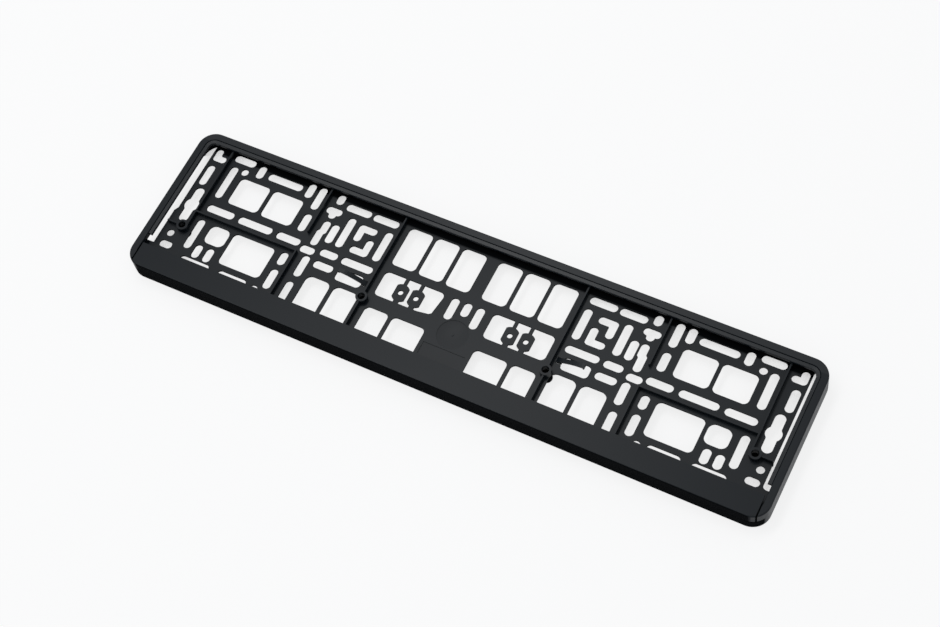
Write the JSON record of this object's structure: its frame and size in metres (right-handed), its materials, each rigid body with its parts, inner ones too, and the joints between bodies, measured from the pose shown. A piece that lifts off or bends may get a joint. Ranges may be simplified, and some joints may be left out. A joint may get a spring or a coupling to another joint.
{
  "type": "number plate holder",
  "caption": "Black moulded number plate holder: slotted grid in a raised rim with lips, screw bosses, spring fingers, and a bare flap that closes over the plate's lower edge.",
  "frame": {"origin": "centre of the rim's foot, in the plane that the holder lies on", "axes": "+X along the holder to the right of someone reading the plate, +Y up the plate away from the flap, +Z out of the holder's front"},
  "size_m": [0.5276, 0.1306, 0.018],
  "materials": {
    "black_plastic": "semi-matte moulded polypropylene"
  },
  "bodies": {
    "base": {"holder_base": "black_plastic"},
    "flap": {"plate_flap": "black_plastic"}
  },
  "joints": [
    {"name": "flap_hinge", "type": "hinge", "parent": "base", "child": "flap", "pos_m": [0, -0.0653, 0.0084], "axis": [1, 0, 0], "range_deg": [0, 110]}
  ]
}
